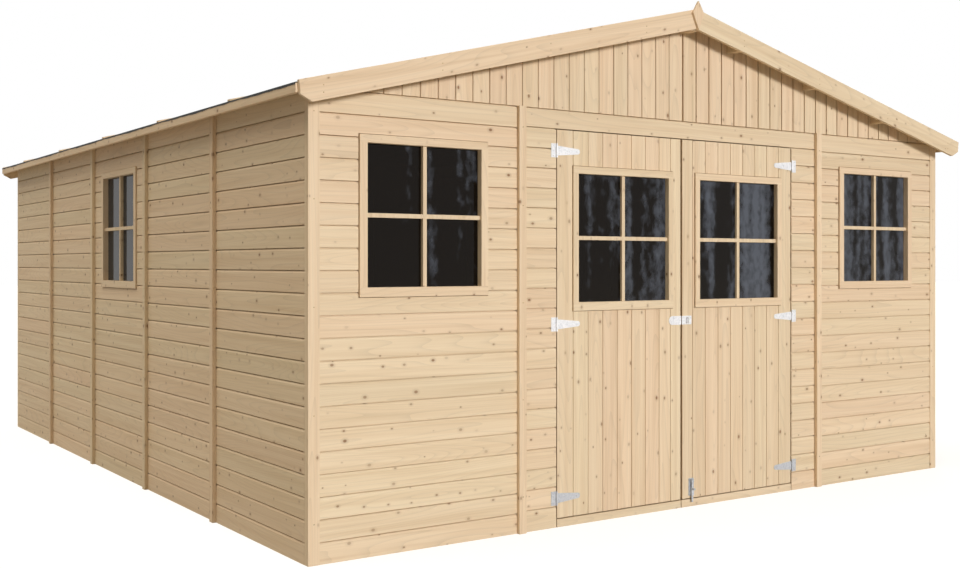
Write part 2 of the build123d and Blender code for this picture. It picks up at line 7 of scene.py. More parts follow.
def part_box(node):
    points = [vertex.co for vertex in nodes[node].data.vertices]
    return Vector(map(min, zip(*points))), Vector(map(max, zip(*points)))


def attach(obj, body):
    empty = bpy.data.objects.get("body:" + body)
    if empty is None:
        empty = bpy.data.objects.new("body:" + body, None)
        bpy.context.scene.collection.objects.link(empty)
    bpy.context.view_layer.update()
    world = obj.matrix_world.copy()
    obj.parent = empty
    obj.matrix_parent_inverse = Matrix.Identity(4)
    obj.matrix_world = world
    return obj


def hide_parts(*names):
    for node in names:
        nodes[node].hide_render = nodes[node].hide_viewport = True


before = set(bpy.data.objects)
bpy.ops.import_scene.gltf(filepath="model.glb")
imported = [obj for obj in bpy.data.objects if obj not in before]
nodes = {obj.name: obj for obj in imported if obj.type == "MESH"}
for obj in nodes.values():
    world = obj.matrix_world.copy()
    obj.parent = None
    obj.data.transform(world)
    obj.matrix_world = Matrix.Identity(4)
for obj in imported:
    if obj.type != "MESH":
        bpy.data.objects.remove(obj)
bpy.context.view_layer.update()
scene = bpy.context.scene
print("shed: frame loaded,", len(nodes), "nodes")


# Small helpers for node trees and meshes

def linear(colour):
    parts = [c / 255 for c in colour]
    return tuple(p / 12.92 if p <= 0.04045 else ((p + 0.055) / 1.055) ** 2.4 for p in parts) + (1.0,)


def feed(tree, node, values):
    # Links the values that are sockets and sets the others
    for name, value in values.items():
        if isinstance(value, bpy.types.NodeSocket):
            tree.links.new(value, node.inputs[name])
        else:
            node.inputs[name].default_value = value


def wired(tree, kind, values=None, **settings):
    node = tree.nodes.new(kind)
    for name, value in settings.items():
        setattr(node, name, value)
    feed(tree, node, values or {})
    return node.outputs


def axes(tree, place):
    return wired(tree, "ShaderNodeSeparateXYZ", {0: place})


def vector(tree, x, y, z=0.0):
    return wired(tree, "ShaderNodeCombineXYZ", {0: x, 1: y, 2: z})[0]


def maths(tree, operation, *values):
    return wired(tree, "ShaderNodeMath", dict(enumerate(values)), operation=operation)[0]


def ramp(tree, factor, *stops):
    # The first two stops are the ends of the ramp
    node = tree.nodes.new("ShaderNodeValToRGB")
    elements = node.color_ramp.elements
    for place, (position, colour) in enumerate(stops):
        stop = elements[place] if place < 2 else elements.new(position)
        stop.position = position
        stop.color = colour
    feed(tree, node, {"Fac": factor})
    return node.outputs["Color"]


def mixed(tree, factor, first, second, kind="RGBA", **settings):
    start, result = (6, 2) if kind == "RGBA" else (4, 1)
    values = {0: factor, start: first, start + 1: second}
    return wired(tree, "ShaderNodeMix", values, data_type=kind, **settings)[result]


def newMaterial(name):
    material = bpy.data.materials.new(name)
    material.use_nodes = True
    return material, material.node_tree


def cellsAt(tree, place, scale):
    return wired(tree, "ShaderNodeTexVoronoi", {"Vector": place, "Scale": scale}, feature="F1")


def surface(tree, values):
    feed(tree, tree.nodes["Principled BSDF"], values)


def newTree(name, inputs):
    tree = bpy.data.node_groups.new(name, "GeometryNodeTree")
    tree.interface.new_socket(name="Geometry", in_out="INPUT", socket_type="NodeSocketGeometry")
    tree.interface.new_socket(name="Geometry", in_out="OUTPUT", socket_type="NodeSocketGeometry")
    for label, kind, value in inputs:
        socket = tree.interface.new_socket(name=label, in_out="INPUT", socket_type="NodeSocket" + kind)
        if value is not None:
            socket.default_value = value
    return tree, tree.nodes.new("NodeGroupInput").outputs, tree.nodes.new("NodeGroupOutput")


def namedValue(tree, name, kind="FLOAT"):
    return wired(tree, "GeometryNodeInputNamedAttribute", {"Name": name}, data_type=kind)["Attribute"]


def endTree(tree, geometry, material, result):
    real = wired(tree, "GeometryNodeRealizeInstances", {"Geometry": geometry})[0]
    finish = wired(tree, "GeometryNodeSetMaterial", {"Geometry": real, "Material": material})[0]
    tree.links.new(finish, result.inputs[0])
    return tree


def settle(piece, tree, values):
    modifier = piece.modifiers.new(tree.name, "NODES")
    modifier.node_group = tree
    for item in tree.interface.items_tree:
        if item.item_type == "SOCKET" and item.in_out == "INPUT" and item.name in values:
            modifier[item.identifier] = values[item.name]
    graph = bpy.context.evaluated_depsgraph_get()
    mesh = bpy.data.meshes.new_from_object(piece.evaluated_get(graph), preserve_all_data_layers=True, depsgraph=graph)
    piece.modifiers.clear()
    piece.data = mesh
    mesh.name = piece.name
    return piece


def addPiece(name, mesh):
    piece = bpy.data.objects.new(name, mesh)
    scene.collection.objects.link(piece)
    return piece


def pointMesh(name, points, **attributes):
    mesh = bpy.data.meshes.new(name)
    mesh.from_pydata(points, [], [])
    for label, values in attributes.items():
        isVector = isinstance(values[0], (tuple, list, Vector))
        layer = mesh.attributes.new(label, "FLOAT_VECTOR" if isVector else "FLOAT", "POINT")
        for item, value in zip(layer.data, values):
            if isVector:
                item.vector = value
            else:
                item.value = value
    return addPiece(name, mesh)


def addCube(shape, low, high):
    made = bmesh.ops.create_cube(shape, size=1.0)["verts"]
    for vertex in made:
        vertex.co = Vector(low[i] + (vertex.co[i] + 0.5) * (high[i] - low[i]) for i in range(3))
    return made


def addIsland(shape, sections):
    # Joins outlines of the same count into one closed solid
    rings = [[shape.verts.new(corner) for corner in outline] for outline in sections]
    shape.faces.new(rings[0])
    shape.faces.new(rings[-1][::-1])
    for first, second in zip(rings, rings[1:]):
        for i in range(len(first)):
            j = (i + 1) % len(first)
            shape.faces.new((first[j], first[i], second[i], second[j]))


def endMesh(name, shape, *materials):
    mesh = bpy.data.meshes.new(name)
    shape.to_mesh(mesh)
    shape.free()
    for material in materials:
        mesh.materials.append(material)
    return addPiece(name, mesh)


def meshPiece(name, shape, *materials):
    bmesh.ops.recalc_face_normals(shape, faces=shape.faces)
    return endMesh(name, shape, *materials)


def fastened(piece, body, slotName, *replaced):
    if replaced:
        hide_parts(*replaced)
    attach(piece, body)
    print("shed:", piece.name, len(piece.data.polygons), "faces")


# Timber: long grain, fine fibres, small knots and a tone for each board

timberLook = {
    "planed": {"pale": (233, 211, 180), "deep": (220, 194, 160), "knot": (128, 88, 56),
               "roughness": 0.62, "relief": 0.25},
    "sawn": {"pale": (222, 197, 162), "deep": (205, 177, 140), "knot": (104, 70, 44),
             "roughness": 0.78, "relief": 0.6},
    "grain": {"rings": (0.9, 42.0), "lines": (0.55, 7.0), "fibres": (12.0, 380.0)},
    "boardShift": (37.0, 53.0, 41.0),
    "boardTone": 0.03, "rosy": (1.0, 0.968, 0.955, 1), "straw": (0.975, 1.0, 0.975, 1), "hueSteps": 7.31,
    "ringLines": 0.10, "ringCount": 26.0, "ringLift": 0.17, "slope": 0.24933,
    "knotCells": 12.5, "knotSize": 0.060, "knotShare": 0.6, "knotStretch": 0.7,
}


def timber(name, finish, along, uprights=None):
    look = timberLook[finish]
    material, tree = newMaterial(name)
    place = wired(tree, "ShaderNodeTexCoord")["Object"]
    spot = axes(tree, place)
    if along == "slope":
        # The grain follows the slope of the roof on both sides
        leaned = maths(tree, "MULTIPLY_ADD", maths(tree, "ABSOLUTE", spot[0]), timberLook["slope"], spot[2])
        place = vector(tree, spot[0], spot[1], leaned)
    tone = wired(tree, "ShaderNodeAttribute", attribute_name="tone")["Fac"]
    shift = wired(tree, "ShaderNodeVectorMath", {"Scale": tone, 0: timberLook["boardShift"]}, operation="SCALE")[0]
    moved = wired(tree, "ShaderNodeVectorMath", {0: place, 1: shift}, operation="ADD")[0]

    def scaled(*scale):
        return wired(tree, "ShaderNodeMapping", {"Vector": moved, "Scale": scale})[0]

    def stretched(lengthwise, across):
        if uprights is None:
            axis = "X" if along == "slope" else along
            return scaled(*(lengthwise if letter == axis else across for letter in "XYZ"))
        # A frame: upright grain between two limits on an axis or outside them, level grain in the rest
        axis, low, high, between = uprights
        isUpright = maths(tree, "MULTIPLY", maths(tree, "GREATER_THAN", spot[axis], low),
                          maths(tree, "LESS_THAN", spot[axis], high))
        if not between:
            isUpright = maths(tree, "SUBTRACT", 1.0, isUpright)
        level = scaled(lengthwise, lengthwise, across)
        return mixed(tree, isUpright, level, scaled(across, across, lengthwise), "VECTOR")

    def noise(grain, **values):
        place = stretched(*timberLook["grain"][grain])
        return wired(tree, "ShaderNodeTexNoise", {"Vector": place, "Scale": 1.0, **values})["Fac"]

    rings = noise("rings", Detail=5.0, Roughness=0.62, Distortion=0.5)
    lines = noise("lines", Detail=1.0, Roughness=0.4, Distortion=0.15)
    fibres = noise("fibres", Detail=3.0, Roughness=0.6)
    streak = ramp(tree, rings, (0.38, linear(look["pale"])), (0.72, linear(look["deep"])))

    # Thin latewood lines follow the rings
    late = maths(tree, "POWER", maths(tree, "FRACT", maths(tree, "MULTIPLY", lines, timberLook["ringCount"])), 5.0)
    depth = timberLook["ringLines"]
    faint = maths(tree, "MULTIPLY_ADD", late, -depth, 1.0 + depth * timberLook["ringLift"])
    drawn = wired(tree, "ShaderNodeVectorMath", {0: streak, "Scale": faint}, operation="SCALE")[0]

    # Each board is a little lighter or darker, rosy or straw coloured
    hue = ramp(tree, maths(tree, "FRACT", maths(tree, "MULTIPLY", tone, timberLook["hueSteps"])),
               (0.0, timberLook["rosy"]), (1.0, timberLook["straw"]))
    tinted = wired(tree, "ShaderNodeVectorMath", {0: drawn, 1: hue}, operation="MULTIPLY")[0]
    level = maths(tree, "MULTIPLY_ADD", tone, timberLook["boardTone"] * 2, 1.0 - timberLook["boardTone"])
    boards = wired(tree, "ShaderNodeVectorMath", {0: tinted, "Scale": level}, operation="SCALE")[0]

    # Knots go through the boards: brown discs of different size and strength, with a soft ring
    flat = axes(tree, moved)
    first, second, third = {"X": (0, 1, 2), "Y": (1, 0, 2), "Z": (2, 0, 1), "slope": (0, 1, 2)}[along]
    spread = vector(tree, maths(tree, "MULTIPLY", flat[first], timberLook["knotStretch"]),
                    maths(tree, "ADD", flat[second], flat[third]))
    cells = wired(tree, "ShaderNodeTexVoronoi", {
        "Vector": spread, "Scale": timberLook["knotCells"], "Randomness": 1.0}, feature="F1", voronoi_dimensions="2D")
    chance = wired(tree, "ShaderNodeSeparateColor", {0: cells["Color"]})
    wide = maths(tree, "MULTIPLY_ADD", chance[1], 0.9, 0.45)
    size, least = timberLook["knotSize"], 1.0 - timberLook["knotShare"]
    disc = ramp(tree, maths(tree, "DIVIDE", cells["Distance"], wide), *(
        (position, (value, value, value, 1)) for position, value in
        ((0.0, 1.0), (size * 2.6, 0.0), (size * 0.75, 0.9), (size * 1.1, 0.25))))
    strength = wired(tree, "ShaderNodeMapRange", {
        "Value": chance[0], "From Min": least, "From Max": 0.97, "To Min": 0.12, "To Max": 0.9}, clamp=True)[0]
    shown = maths(tree, "GREATER_THAN", chance[0], least)
    cover = maths(tree, "MULTIPLY", disc, maths(tree, "MULTIPLY", strength, shown))
    rough = maths(tree, "MULTIPLY_ADD", fibres, 0.2, look["roughness"] - 0.1)
    bump = wired(tree, "ShaderNodeBump", {"Height": fibres, "Strength": look["relief"], "Distance": 0.0006})[0]
    colour = mixed(tree, cover, boards, linear(look["knot"]))
    surface(tree, {"Base Color": colour, "Roughness": rough, "Normal": bump, "Specular IOR Level": 0.2})
    return material


planed, sawn = (
    {axis: timber(finish + "Softwood" + axis.capitalize(), finish, axis) for axis in ("X", "Y", "Z", "slope")}
    for finish in ("planed", "sawn"))


# Roofing felt: mineral grains on a charcoal sheet

feltLook = {"dark": (44, 45, 47), "pale": (84, 85, 87), "grain": 900.0, "drift": 8.0}


def feltSheet():
    material, tree = newMaterial("mineralFelt")
    place = wired(tree, "ShaderNodeTexCoord")["Object"]
    grains = cellsAt(tree, place, feltLook["grain"])["Distance"]
    drift = wired(tree, "ShaderNodeTexNoise", {"Vector": place, "Scale": feltLook["drift"], "Detail": 5.0})["Fac"]
    colour = ramp(tree, maths(tree, "MULTIPLY", grains, drift),
                  (0.05, linear(feltLook["dark"])), (0.5, linear(feltLook["pale"])))
    bump = wired(tree, "ShaderNodeBump", {"Height": grains, "Strength": 0.6, "Distance": 0.001})[0]
    surface(tree, {"Base Color": colour, "Normal": bump, "Roughness": 0.93})
    return material


felt = feltSheet()


# Window glass: smooth, with a dark base colour that is painted shade of the unlit inside, and soft upright bands of
# blurred patches that are painted reflections

# dark is painted shade of the inside, streak is the colour of the painted reflections, side is painted shade and
# reflection of the side panes
paintedGlassLook = {"dark": (22, 17, 12), "streak": (92, 97, 106), "side": (62, 62, 64), "sideX": 1.9, "alpha": 0.88,
             "paintedReflectionsFrom": -1.9, "paintedReflectionsTo": 0.9, "bands": (12.0, 12.0, 0.7), "patches": (30.0, 30.0, 20.0),
             "bandShare": 0.75, "patchShare": 0.4}


def windowGlass():
    material, tree = newMaterial("windowGlass")
    place = wired(tree, "ShaderNodeTexCoord")["Object"]

    def clouds(kind, detail):
        mapped = wired(tree, "ShaderNodeMapping", {"Vector": place, "Scale": paintedGlassLook[kind]})[0]
        return wired(tree, "ShaderNodeTexNoise", {
            "Vector": mapped, "Scale": 1.0, "Detail": detail, "Roughness": 0.5})["Fac"]

    # Upright bands and blurred patches of painted reflection
    paintedReflections = maths(tree, "ADD", maths(tree, "MULTIPLY", clouds("bands", 1.0), paintedGlassLook["bandShare"]),
                    maths(tree, "MULTIPLY", clouds("patches", 3.0), paintedGlassLook["patchShare"]))
    spot = axes(tree, place)
    # The painted reflections grow from the left window to the right one
    paintedReflectionRise = wired(tree, "ShaderNodeMapRange", {
        "Value": spot[0], "From Min": paintedGlassLook["paintedReflectionsFrom"], "From Max": paintedGlassLook["paintedReflectionsTo"],
        "To Min": -0.24, "To Max": 0.06})[0]
    # From the painted shade of the inside to the painted reflection
    front = ramp(tree, maths(tree, "ADD", paintedReflections, paintedReflectionRise),
                 (0.5, linear(paintedGlassLook["dark"])), (0.74, linear(paintedGlassLook["streak"])))
    # The panes of the side walls are an even grey, painted shade and painted reflection in one colour
    isSide = maths(tree, "GREATER_THAN", maths(tree, "ABSOLUTE", spot[0]), paintedGlassLook["sideX"])
    colour = mixed(tree, isSide, front, linear(paintedGlassLook["side"]))
    surface(tree, {"Base Color": colour, "Roughness": 0.08, "IOR": 1.22, "Alpha": paintedGlassLook["alpha"]})
    return material


glass = windowGlass()


# Galvanised steel: pale zinc with a faint spangle

steelLook = {"spangle": 160.0, "haze": 60.0, "lowAt": 0.45, "low": (212, 214, 217)}


def zincSteel(name, pale, dull, metallic):
    material, tree = newMaterial(name)
    place = wired(tree, "ShaderNodeTexCoord")["Object"]
    flakes = cellsAt(tree, place, steelLook["spangle"])["Color"]
    haze = wired(tree, "ShaderNodeTexNoise", {"Vector": place, "Scale": steelLook["haze"], "Detail": 4.0})["Fac"]
    spangled = ramp(tree, maths(tree, "MULTIPLY", flakes, haze), (0.1, linear(pale)), (0.5, linear(dull)))
    # The fittings near the ground are darker and a little bluer
    height = axes(tree, place)[2]
    isLow = maths(tree, "LESS_THAN", height, steelLook["lowAt"])
    colour = mixed(tree, isLow, spangled, linear(steelLook["low"]), blend_type="MULTIPLY")
    rough = maths(tree, "MULTIPLY_ADD", haze, 0.25, 0.3)
    surface(tree, {"Base Color": colour, "Roughness": rough, "Metallic": metallic})
    return material


zinc = zincSteel("galvanisedSteel", (236, 236, 237), (212, 214, 217), 0.2)
darkZinc = zincSteel("boltSteel", (232, 234, 237), (186, 189, 194), 0.4)
yellowZinc = zincSteel("yellowSteel", (196, 168, 122), (160, 132, 90), 0.4)


# Boards laid edge to edge, each with a bevelled top edge and a lap behind the next

boardSize = {"thickness": 0.016, "lap": 0.008}
seamLook = {
    "siding": {"gap": 0.0042, "groove": 0.0135, "bevel height": 0.0080, "bevel depth": 0.0034},
    "gable": {"gap": 0.0048, "groove": 0.0135, "bevel height": 0.0025, "bevel depth": 0.0020},
    "leaf": {"gap": 0.0016, "groove": 0.004, "bevel height": 0.0025, "bevel depth": 0.0018},
    "inside": {"gap": 0.0020, "groove": 0.008, "bevel height": 0.0030, "bevel depth": 0.0030},
}


def boardTree():
    tree, given, result = newTree("layBoards", [
        ("pitch", "Float", 0.088), ("thickness", "Float", 0.016), ("gap", "Float", 0.0016), ("groove", "Float", 0.008),
        ("bevel height", "Float", 0.003), ("bevel depth", "Float", 0.003), ("lap", "Float", 0.006),
        ("far edge", "Float", 10.0), ("turn", "Rotation", None), ("place", "Vector", None), ("cutter", "Object", None),
        ("has cutter", "Bool", False), ("seed", "Int", 1), ("timber", "Material", None),
    ])

    def do(operation, *values):
        return maths(tree, operation, *values)

    size = vector(tree, 1.0, given["thickness"], given["pitch"])
    board = wired(tree, "GeometryNodeMeshCube", {
        "Size": size, "Vertices X": 2, "Vertices Y": 4, "Vertices Z": 3})["Mesh"]
    spot = axes(tree, wired(tree, "GeometryNodeInputPosition")[0])

    # The section: rows low, middle and top, columns face, step and back
    depth = do("DIVIDE", spot[1], given["thickness"])
    height = do("DIVIDE", spot[2], given["pitch"])
    isFace, isBack, isEnd = do("LESS_THAN", depth, -0.4), do("GREATER_THAN", depth, 0.0), do("GREATER_THAN", depth, 0.4)
    isStep = do("LESS_THAN", do("ABSOLUTE", depth), 0.4)
    isTop, isRaised = do("GREATER_THAN", height, 0.4), do("GREATER_THAN", height, -0.1)
    middle = do("SUBTRACT", do("SUBTRACT", given["pitch"], given["gap"]), given["bevel height"])
    rise = do("MULTIPLY", isRaised, middle)
    for share, amount in ((isTop, given["bevel height"]), (isBack, given["lap"])):
        rise = do("ADD", rise, do("MULTIPLY", share, amount))
    push = do("MULTIPLY", isStep, given["groove"])
    for share, amount in ((do("MULTIPLY", isStep, isBack), 0.0002), (isEnd, given["thickness"]),
                          (do("MULTIPLY", isFace, isTop), given["bevel depth"])):
        push = do("ADD", push, do("MULTIPLY", share, amount))
    shaped = vector(tree, do("ADD", spot[0], 0.5), push, rise)
    section = wired(tree, "GeometryNodeSetPosition", {"Geometry": board, "Position": shaped})[0]

    # One board at each point, as long and as wide as the point says
    share = do("DIVIDE", namedValue(tree, "cover"), given["pitch"])
    stretch = vector(tree, namedValue(tree, "reach"), 1.0, share)
    laid = wired(tree, "GeometryNodeInstanceOnPoints", {
        "Points": given["Geometry"], "Instance": section, "Scale": stretch})[0]
    tone = wired(tree, "FunctionNodeRandomValue", {"Seed": given["seed"]}, data_type="FLOAT")[1]

    def toneStored(geometry, value, domain):
        return wired(tree, "GeometryNodeStoreNamedAttribute", {"Geometry": geometry, "Value": value, "Name": "tone"},
                     data_type="FLOAT", domain=domain)[0]

    real = wired(tree, "GeometryNodeRealizeInstances", {"Geometry": toneStored(laid, tone, "INSTANCE")})[0]
    faced = toneStored(real, namedValue(tree, "tone"), "FACE")

    # The last board stops at the far edge
    now = axes(tree, wired(tree, "GeometryNodeInputPosition")[0])
    kept = vector(tree, now[0], now[1], do("MINIMUM", now[2], given["far edge"]))
    trimmed = wired(tree, "GeometryNodeSetPosition", {"Geometry": faced, "Position": kept})[0]
    moved = wired(tree, "GeometryNodeTransform", {
        "Geometry": trimmed, "Translation": given["place"], "Rotation": given["turn"]})[0]

    # Openings and notches are cut from the boards in place
    tool = wired(tree, "GeometryNodeObjectInfo", {"Object": given["cutter"]})["Geometry"]
    cut = wired(tree, "GeometryNodeMeshBoolean", {"Mesh 1": moved, "Mesh 2": tool, "Self Intersection": True},
                operation="DIFFERENCE", solver="EXACT")[0]
    choice = wired(tree, "GeometryNodeSwitch", {"Switch": given["has cutter"], "False": moved, "True": cut},
                   input_type="GEOMETRY")[0]
    return endTree(tree, choice, given["timber"], result)


layBoards = boardTree()


def cutterMesh(boxes, prisms=()):
    shape = bmesh.new()
    for low, high in boxes:
        addCube(shape, low, high)
    for corners, move in prisms:
        addIsland(shape, [corners, [Vector(corner) + Vector(move) for corner in corners]])
    return meshPiece("cutter", shape)


def boarded(name, rows, run, stack, place, pitch, farEdge, material, seed, seam="siding", cutter=None,
            thickness=None):
    points = pointMesh(name, [(x, 0, z) for x, z, reach, cover in rows],
                       reach=[row[2] for row in rows], cover=[row[3] for row in rows])
    run, stack = Vector(run), Vector(stack)
    inward = stack.cross(run)
    turn = Matrix((run, inward, stack)).transposed().to_euler()
    settle(points, layBoards, {
        "pitch": pitch, "thickness": thickness or boardSize["thickness"], "lap": boardSize["lap"], "far edge": farEdge,
        "turn": turn, "place": place, "cutter": cutter, "has cutter": cutter is not None, "seed": seed,
        "timber": material, **seamLook[seam],
    })
    if cutter is not None:
        bpy.data.objects.remove(cutter)
    return points


def courses(spans, first, pitch, high):
    rows = []
    for x, end in spans:
        z, cover = 0.0, first
        while z < high - 0.001:
            left = high - z
            cover = left if left < cover * 1.25 else cover
            rows.append((x, z, end - x, cover))
            z += cover
            cover = pitch
    return rows


def joined(name, parts):
    shape = bmesh.new()
    for part in parts:
        shape.from_mesh(part.data)
    piece = endMesh(name, shape, *parts[0].data.materials)
    for part in parts:
        bpy.data.objects.remove(part)
    return piece


# Walls

wallSize = {
    "pitch": 0.088, "firstBesideDoors": 0.095, "headerFoot": 1.768, "height": 1.852,
    "windowX": 1.440, "window": 0.3075, "seat": 0.0003, "windowJoint": 0.0025, "panelGap": 0.0004,
}
frameLow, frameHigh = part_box("wall_window_frames")
holeZ = (frameLow[2] - wallSize["windowJoint"], frameHigh[2] + wallSize["windowJoint"])


def windowCut(centre, axis, depth):
    reach = wallSize["window"] + wallSize["windowJoint"]
    across = (centre - reach, centre + reach)
    if axis == "X":
        return (across[0], depth[0], holeZ[0]), (across[1], depth[1], holeZ[1])
    return (depth[0], across[0], holeZ[0]), (depth[1], across[1], holeZ[1])


def frontWall():
    pitch, height = wallSize["pitch"], wallSize["height"]
    for side, sign, seed in (("left", -1, 11), ("right", 1, 23)):
        node = "front_%s_panel" % side
        low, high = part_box(node)
        cutter = cutterMesh([windowCut(sign * wallSize["windowX"], "X", (low[1] - 0.02, high[1] + 0.02))])
        piece = boarded("front%sBoards" % side.capitalize(), courses([(low[0], high[0])], pitch, pitch, height),
                        (1, 0, 0), (0, 0, 1), (0, low[1], 0), pitch, height, planed["X"], seed, cutter=cutter)
        fastened(piece, "shed", "planed_softwood", node)
    low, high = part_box("door_surround")
    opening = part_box("door_threshold")[1][0] + wallSize["seat"]
    foot = wallSize["headerFoot"]
    rows = courses([(low[0], -opening), (opening, high[0])], wallSize["firstBesideDoors"], pitch, foot)
    bays = boarded("bayBoards", rows, (1, 0, 0), (0, 0, 1), (0, low[1], 0), pitch, foot - wallSize["panelGap"],
                   planed["X"], 5)
    header = boarded("headerBoard", [(low[0], 0.0, high[0] - low[0], height - foot)], (1, 0, 0), (0, 0, 1),
                     (0, low[1], foot), pitch, height - foot, planed["X"], 2)
    fastened(joined("doorSurroundBoards", [bays, header]), "shed", "planed_softwood", "door_surround")


def sideWalls():
    pitch, height = wallSize["pitch"], wallSize["height"]
    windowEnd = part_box("left_window_panel")[1][1]
    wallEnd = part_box("left_wall_panels")[1][1]
    joint = windowEnd * 3
    spans = [(-wallEnd, -joint), (-joint, -windowEnd), (windowEnd, joint), (joint, wallEnd)]
    for side, sign, seed in (("left", -1, 31), ("right", 1, 37)):
        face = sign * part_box("right_wall_panels")[1][0]
        piece = boarded(side + "WallBoards", courses(spans, pitch, pitch, height), (0, sign, 0), (0, 0, 1),
                        (face, 0, 0), pitch, height, planed["Y"], seed)
        fastened(piece, "shed", "planed_softwood", side + "_wall_panels")
        cutter = cutterMesh([windowCut(0.0, "Y", sorted((face - sign * 0.03, face + sign * 0.02)))])
        piece = boarded(side + "WindowBoards", courses([(-windowEnd, windowEnd)], pitch, pitch, height), (0, sign, 0),
                        (0, 0, 1), (face, 0, 0), pitch, height, planed["Y"], seed + 12, cutter=cutter)
        fastened(piece, "shed", "planed_softwood", side + "_window_panel")


def backWall():
    pitch, height = wallSize["pitch"], wallSize["height"]
    low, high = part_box("back_wall_panels")
    width = (high[0] - low[0]) / 4
    spans = [(low[0] + i * width, low[0] + (i + 1) * width - wallSize["panelGap"]) for i in range(4)]
    piece = boarded("backWallBoards", courses(spans, pitch, pitch, height), (-1, 0, 0), (0, 0, 1), (0, high[1], 0),
                    pitch, height, planed["X"], 53)
    fastened(piece, "shed", "planed_softwood", "back_wall_panels")


frontWall()
sideWalls()
backWall()


# Gables: upright boards in two halves that meet at the middle

gableSize = {"pitch": 0.086, "reach": 0.55, "jointGap": 0.010, "notchTop": 2.9, "cutTop": 2.95, "cutSide": 2.2}
roofLine = {"wallX": 1.970, "wallZ": 1.855}
purlinSize = {"places": (0.317, 0.867, 1.417), "half": 0.0225, "depth": 0.095, "ridgeDepth": 0.105, "slit": 0.0005,
              "endDepth": 0.061, "ridgeEndDepth": 0.076, "seat": 0.0003, "ease": 0.0015}


def roofUnderside(x):
    return roofLine["wallZ"] + (roofLine["wallX"] - abs(x)) * timberLook["slope"]


def gables():
    parts = []
    low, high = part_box("gable_boards")
    half, foot = high[0], low[2]
    notch, notchTop = purlinSize["half"] + purlinSize["slit"], gableSize["notchTop"]
    cutTop, cutSide = gableSize["cutTop"], gableSize["cutSide"]
    for end in (-1, 1):
        near, far = sorted((end * (high[1] - 0.04), end * (high[1] + 0.02)))
        boxes = [((-notch, near, roofUnderside(0) - purlinSize["ridgeEndDepth"]), (notch, far, notchTop))]
        for x in purlinSize["places"]:
            for side in (-1, 1):
                drop = roofUnderside(x) - purlinSize["endDepth"] - purlinSize["slit"]
                boxes.append(((side * x - notch, near, drop), (side * x + notch, far, notchTop)))
        slopes = []
        for side in (-1, 1):
            corners = [(0, cutTop), (side * cutSide, cutTop), (side * cutSide, roofUnderside(cutSide)),
                       (0, roofUnderside(0))]
            slopes.append(([(x, near, z) for x, z in corners], (0, far - near, 0)))
        for side in (-1, 1):
            rows, x = [], gableSize["jointGap"] / 2
            while x < half - 0.002:
                cover = min(gableSize["pitch"], half - x)
                rows.append((0.0, x, gableSize["reach"], cover))
                x += cover
            # The boards of both ends face outwards
            upward = side * end > 0
            run = (0, 0, 1 if upward else -1)
            start = (0, end * high[1], foot if upward else foot + gableSize["reach"])
            parts.append(boarded("gableHalf", rows, run, (side, 0, 0), start, gableSize["pitch"], half, planed["Z"],
                                 60 + len(parts), "gable", cutterMesh(boxes, slopes)))
    fastened(joined("gableBoards", parts), "shed", "planed_softwood", "gable_boards")


gables()


# Purlins and ridge beam, rebated at the ends where they pass the gables

def toned(shape, width):
    # Eases the sharp edges and gives each separate timber its own tone
    sharp = [edge for edge in shape.edges if len(edge.link_faces) == 2 and edge.calc_face_angle() > 0.5]
    bmesh.ops.bevel(shape, geom=sharp, offset=width, segments=2, profile=0.7, affect="EDGES", clamp_overlap=True)
    layer = shape.faces.layers.float.new("tone")
    # A dictionary keeps the order of the faces, so that each run sums them alike
    waiting = dict.fromkeys(shape.faces)
    while waiting:
        island, edge = [], [next(iter(waiting))]
        del waiting[edge[0]]
        while edge:
            face = edge.pop()
            island.append(face)
            for line in face.edges:
                for other in line.link_faces:
                    if other in waiting:
                        del waiting[other]
                        edge.append(other)
        centre = sum((face.calc_center_median() for face in island), Vector()) / len(island)
        tone = (abs(math.sin(centre.x * 12.9 + centre.y * 7.3 + centre.z * 3.1)) * 43.7) % 1.0
        for face in island:
            face[layer] = tone
    return shape


def purlins():
    end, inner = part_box("roof_purlins")[1][1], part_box("back_wall_frame")[1][1]
    shape = bmesh.new()
    half, seat, ease = purlinSize["half"], purlinSize["seat"], purlinSize["ease"]
    for x in (0.0,) + purlinSize["places"] + tuple(-place for place in purlinSize["places"]):
        depth, endDepth = ("ridgeDepth", "ridgeEndDepth") if x == 0 else ("depth", "endDepth")
        foot, endFoot = roofUnderside(x) - purlinSize[depth], roofUnderside(x) - purlinSize[endDepth]
        sections = []
        for across in ((x - half, 0.0, x + half) if x == 0 else (x - half, x + half)):
            top = roofUnderside(across) - seat
            outline = [(-end, top), (end, top), (end, endFoot), (inner, endFoot), (inner, foot), (-inner, foot),
                       (-inner, endFoot), (-end, endFoot)]
            sections.append([(across, y, z) for y, z in outline])
        addIsland(shape, sections)
    piece = meshPiece("roofTimbers", toned(shape, ease), sawn["Y"])
    fastened(piece, "shed", "sawn_softwood", "roof_purlins")


purlins()


# Door leaves: upright boards, an outer one beside the hinges and a narrow closing one

leafSize = {"outer": 0.092, "pitch": 0.086, "closing": 0.066, "meeting": 0.005}


def leafRows(width, closing):
    # Widths from the hinges to the closing edge
    covers, left = [leafSize["outer"]], width - leafSize["outer"]
    while left > 0.002:
        cover = min(leafSize["pitch"], left)
        if closing and closing * 1.02 < left < closing + cover * 0.95:
            cover = left - closing
        covers.append(cover)
        left -= cover
    return covers


